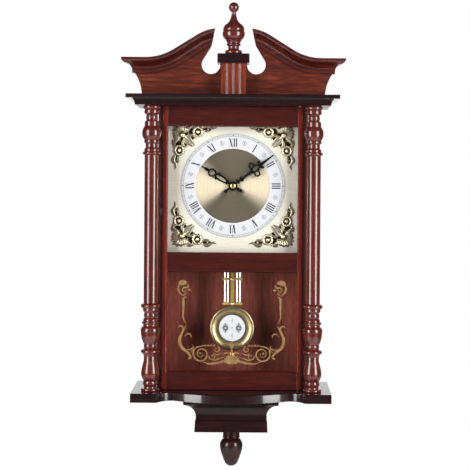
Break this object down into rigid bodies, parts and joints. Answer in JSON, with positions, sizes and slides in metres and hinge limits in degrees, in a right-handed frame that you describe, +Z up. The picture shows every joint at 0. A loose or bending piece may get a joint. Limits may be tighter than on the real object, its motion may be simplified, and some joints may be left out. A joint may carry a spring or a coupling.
{
  "type": "pendulum wall clock",
  "caption": "Wooden pendulum wall clock with a swan-neck pediment, turned columns, a glazed hinged door, a roman dial and a brass bob.",
  "frame": {"origin": "centre of the keyhole's round entry, on the plane of the wall", "axes": "+Z up, -Y out of the wall towards the viewer, +X to the viewer's right"},
  "size_m": [0.334, 0.127, 0.6961],
  "materials": {
    "cherry": "gloss lacquer",
    "dark_cherry": "gloss lacquer",
    "case_board": "satin",
    "glass": "polished",
    "steel": "brushed",
    "nickel": "polished",
    "brass": "polished",
    "dial_metal": "brushed champagne",
    "dial_white": "printed white",
    "black_hands": "gloss black",
    "black_plastic": "moulded",
    "pale_plastic": "moulded",
    "rubber": "matte",
    "magnet": "ferrite",
    "copper": "enamelled winding",
    "board_green": "solder mask",
    "cell": "printed sleeve"
  },
  "bodies": {
    "case": {"pediment_board": "cherry", "pediment_moulding_left": "cherry", "pediment_moulding_right": "cherry", "keystone": "cherry", "top_finial": "cherry", "drop_finial": "cherry", "column_left": "cherry", "column_right": "cherry", "base_shelf": "dark_cherry", "corbel": "dark_cherry", "cornice_plate": "dark_cherry", "cornice_moulding": "dark_cherry", "plinth_cap": "dark_cherry", "case_side_left": "case_board", "case_side_right": "case_board", "back_panel": "case_board", "hanging_rail": "case_board", "case_roof": "case_board", "dial_cleats": "case_board", "dial_board": "case_board", "hanger_plate": "steel", "wood_screws": "steel", "battery_contacts": "steel", "pivot_bushes": "brass", "centre_disc": "brass", "spandrels": "brass", "fixing_nut": "brass", "dial_plate": "dial_metal", "chapter_ring": "dial_white", "movement_case": "black_plastic", "movement_cover": "black_plastic", "gear_plate": "pale_plastic", "wall_bumpers": "rubber", "catch_magnet": "magnet", "drive_coil": "copper", "step_motor": "copper", "circuit_board": "board_green", "battery": "cell"},
    "door": {"door_stiles": "cherry", "door_rails": "cherry", "door_glass": "glass", "glazing_beads": "cherry", "door_pins": "brass", "strike_plate": "steel", "door_pull": "nickel"},
    "minute": {"minute_wheel": "pale_plastic", "minute_hand": "black_hands", "hand_cap": "brass"},
    "motion": {"motion_wheel": "pale_plastic"},
    "hour": {"hour_wheel": "pale_plastic", "hour_hand": "black_hands"},
    "third": {"third_wheel": "pale_plastic"},
    "button": {"set_button": "black_plastic"},
    "pendulum": {"pendulum_lever": "black_plastic", "pendulum_strip": "brass", "pendulum_rods": "nickel", "crossbars": "brass", "bob_shell": "brass", "bob_face": "dial_white", "rating_nut": "brass"}
  },
  "joints": [
    {"name": "door_hinge", "type": "hinge", "parent": "case", "child": "door", "pos_m": [0.1, -0.079, -0.1835], "axis": [0, 0, 1], "range_deg": [0, 88]},
    {"name": "minute_spin", "type": "hinge", "parent": "case", "child": "minute", "pos_m": [0, -0.05, -0.091], "axis": [0, -1, 0], "continuous": true},
    {"name": "motion_spin", "type": "hinge", "parent": "case", "child": "motion", "pos_m": [0, -0.05, -0.0742], "axis": [0, -1, 0], "continuous": true},
    {"name": "hour_spin", "type": "hinge", "parent": "case", "child": "hour", "pos_m": [0, -0.05, -0.091], "axis": [0, -1, 0], "continuous": true},
    {"name": "third_spin", "type": "hinge", "parent": "case", "child": "third", "pos_m": [-0.018, -0.05, -0.091], "axis": [0, -1, 0], "continuous": true},
    {"name": "pendulum_swing", "type": "hinge", "parent": "case", "child": "pendulum", "pos_m": [0, -0.044, -0.124], "axis": [0, -1, 0], "range_deg": [-6, 6]},
    {"name": "set_press", "type": "slide", "parent": "case", "child": "button", "axis": [0, -1, 0], "range_m": [0, 0.0012], "stiffness_N_per_m": 400}
  ],
  "couplings": [
    {"joint": "motion_spin", "follows": "minute_spin", "ratio": -0.33333},
    {"joint": "hour_spin", "follows": "minute_spin", "ratio": 0.083333},
    {"joint": "third_spin", "follows": "minute_spin", "ratio": -8}
  ]
}
